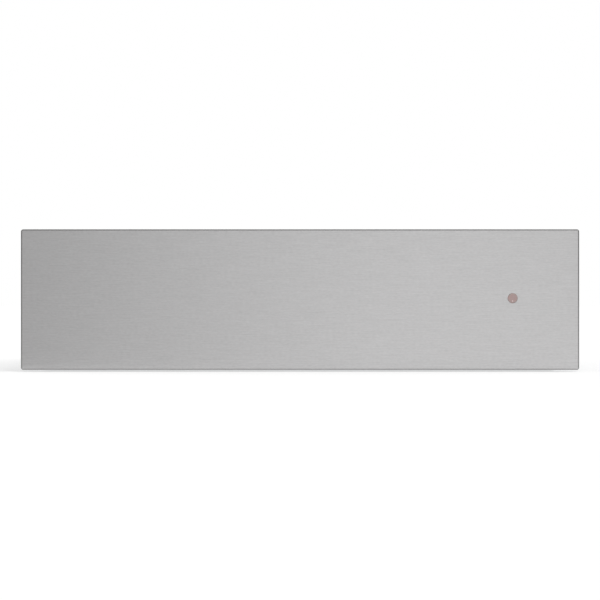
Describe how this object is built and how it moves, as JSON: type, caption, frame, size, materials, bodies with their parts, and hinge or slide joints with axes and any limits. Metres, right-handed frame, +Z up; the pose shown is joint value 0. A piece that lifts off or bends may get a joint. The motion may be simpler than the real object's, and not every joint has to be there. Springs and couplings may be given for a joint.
{
  "type": "built-in warming drawer",
  "caption": "Built-in warming drawer with a plain steel front, a heated tray on telescopic runners and a sheet-metal housing.",
  "frame": {"origin": "middle of the bounding box's footprint, on the shelf that the feet stand on", "axes": "+X to the right seen from the front, +Y from the front to the back, +Z up"},
  "size_m": [0.595, 0.55, 0.152],
  "materials": {
    "brushed_front": "fine horizontal brushing",
    "stainless": "satin stainless steel",
    "galvanised": "hot-dip galvanised sheet with faint spangle",
    "zinc_plated": "bright zinc plating",
    "ball_steel": "polished",
    "black_plastic": "fine moulded texture",
    "black_glossy": "smooth",
    "natural_plastic": "moulded nylon",
    "brown_phenolic": "moulded phenolic",
    "lamp_lens": "translucent, unlit",
    "mat_rubber": "soft silicone with a fine pattern",
    "rubber": "moulded",
    "mineral_wool": "fibre batt",
    "aluminium": "pressed sheet",
    "heater_sheath": "dark oxidised sheath",
    "laminations": "stacked sheet",
    "copper": "enamelled wire under tape",
    "wire_sleeve": "braided glass sleeve",
    "magnet": "sintered ferrite"
  },
  "bodies": {
    "housing": {"housing_shell": "galvanised", "housing_roof": "galvanised", "back_panel": "galvanised", "cabinet_flange_left": "galvanised", "cabinet_flange_right": "galvanised", "front_buffers": "rubber", "feet": "rubber", "housing_screws": "zinc_plated", "runner_rivets": "zinc_plated", "runner_outer_left": "zinc_plated", "runner_outer_right": "zinc_plated", "latch_body": "black_plastic", "latch_spring": "zinc_plated", "cord_gland": "black_plastic", "gland_nut": "black_plastic", "terminal_block": "natural_plastic"},
    "latch_slider": {"latch_slider": "natural_plastic", "latch_magnet": "magnet"},
    "drawer": {"front_panel": "brushed_front", "front_liner": "galvanised", "front_wool": "mineral_wool", "indicator_lens": "lamp_lens", "indicator_holder": "black_plastic", "indicator_led": "lamp_lens", "drawer_side_left": "galvanised", "drawer_side_right": "galvanised", "drawer_screws": "zinc_plated", "runner_inner_left": "zinc_plated", "runner_inner_right": "zinc_plated", "control_box": "galvanised", "control_fascia": "black_plastic", "thermostat_body": "brown_phenolic", "thermostat_nut": "zinc_plated", "switch_body": "black_plastic", "tray": "stainless", "anti_slip_mat": "mat_rubber", "fan_grille": "stainless", "fan_casing": "stainless", "heater_element": "heater_sheath", "thermal_cutout": "brown_phenolic", "temperature_bulb": "copper", "capillary_tube": "copper", "drawer_wiring": "wire_sleeve", "motor_core": "laminations", "motor_coil": "copper", "motor_brackets": "zinc_plated", "rear_cover": "galvanised", "loom_grommet": "rubber", "striker_plate": "zinc_plated"},
    "fan": {"fan_impeller": "aluminium", "fan_rotor": "zinc_plated"},
    "knob": {"thermostat_knob": "black_glossy", "thermostat_shaft": "zinc_plated"},
    "rocker": {"switch_rocker": "black_glossy"},
    "runner_middle_left": {"runner_middle_left": "zinc_plated"},
    "ball_cage_wall_left": {"ball_cage_wall_left": "ball_steel"},
    "ball_cage_drawer_left": {"ball_cage_drawer_left": "ball_steel"},
    "runner_middle_right": {"runner_middle_right": "zinc_plated"},
    "ball_cage_wall_right": {"ball_cage_wall_right": "ball_steel"},
    "ball_cage_drawer_right": {"ball_cage_drawer_right": "ball_steel"}
  },
  "joints": [
    {"name": "latch_push", "type": "slide", "parent": "housing", "child": "latch_slider", "axis": [0, -1, 0], "range_m": [-0.003, 0], "stiffness_N_per_m": 200, "springref_m": 0.02, "deforming": ["latch_spring"]},
    {"name": "drawer_slide", "type": "slide", "parent": "latch_slider", "child": "drawer", "axis": [0, -1, 0], "range_m": [0, 0.42]},
    {"name": "fan_spin", "type": "hinge", "parent": "drawer", "child": "fan", "pos_m": [0, 0.19, 0.065], "axis": [0, -1, 0], "continuous": true},
    {"name": "thermostat_turn", "type": "hinge", "parent": "drawer", "child": "knob", "pos_m": [0.1853, -0.2305, 0.1142], "axis": [0, 0, -1], "range_deg": [0, 270]},
    {"name": "rocker_tilt", "type": "hinge", "parent": "drawer", "child": "rocker", "pos_m": [0.1333, -0.2305, 0.1134], "axis": [-1, 0, 0], "range_deg": [0, 20]},
    {"name": "runner_middle_left_slide", "type": "slide", "parent": "housing", "child": "runner_middle_left", "axis": [0, -1, 0], "range_m": [0, 0.21]},
    {"name": "ball_cage_wall_left_slide", "type": "slide", "parent": "housing", "child": "ball_cage_wall_left", "axis": [0, -1, 0], "range_m": [0, 0.105]},
    {"name": "ball_cage_drawer_left_slide", "type": "slide", "parent": "housing", "child": "ball_cage_drawer_left", "axis": [0, -1, 0], "range_m": [0, 0.315]},
    {"name": "runner_middle_right_slide", "type": "slide", "parent": "housing", "child": "runner_middle_right", "axis": [0, -1, 0], "range_m": [0, 0.21]},
    {"name": "ball_cage_wall_right_slide", "type": "slide", "parent": "housing", "child": "ball_cage_wall_right", "axis": [0, -1, 0], "range_m": [0, 0.105]},
    {"name": "ball_cage_drawer_right_slide", "type": "slide", "parent": "housing", "child": "ball_cage_drawer_right", "axis": [0, -1, 0], "range_m": [0, 0.315]}
  ],
  "couplings": [
    {"joint": "runner_middle_left_slide", "follows": "drawer_slide", "ratio": 0.5},
    {"joint": "ball_cage_wall_left_slide", "follows": "drawer_slide", "ratio": 0.25},
    {"joint": "ball_cage_drawer_left_slide", "follows": "drawer_slide", "ratio": 0.75},
    {"joint": "runner_middle_right_slide", "follows": "drawer_slide", "ratio": 0.5},
    {"joint": "ball_cage_wall_right_slide", "follows": "drawer_slide", "ratio": 0.25},
    {"joint": "ball_cage_drawer_right_slide", "follows": "drawer_slide", "ratio": 0.75}
  ]
}
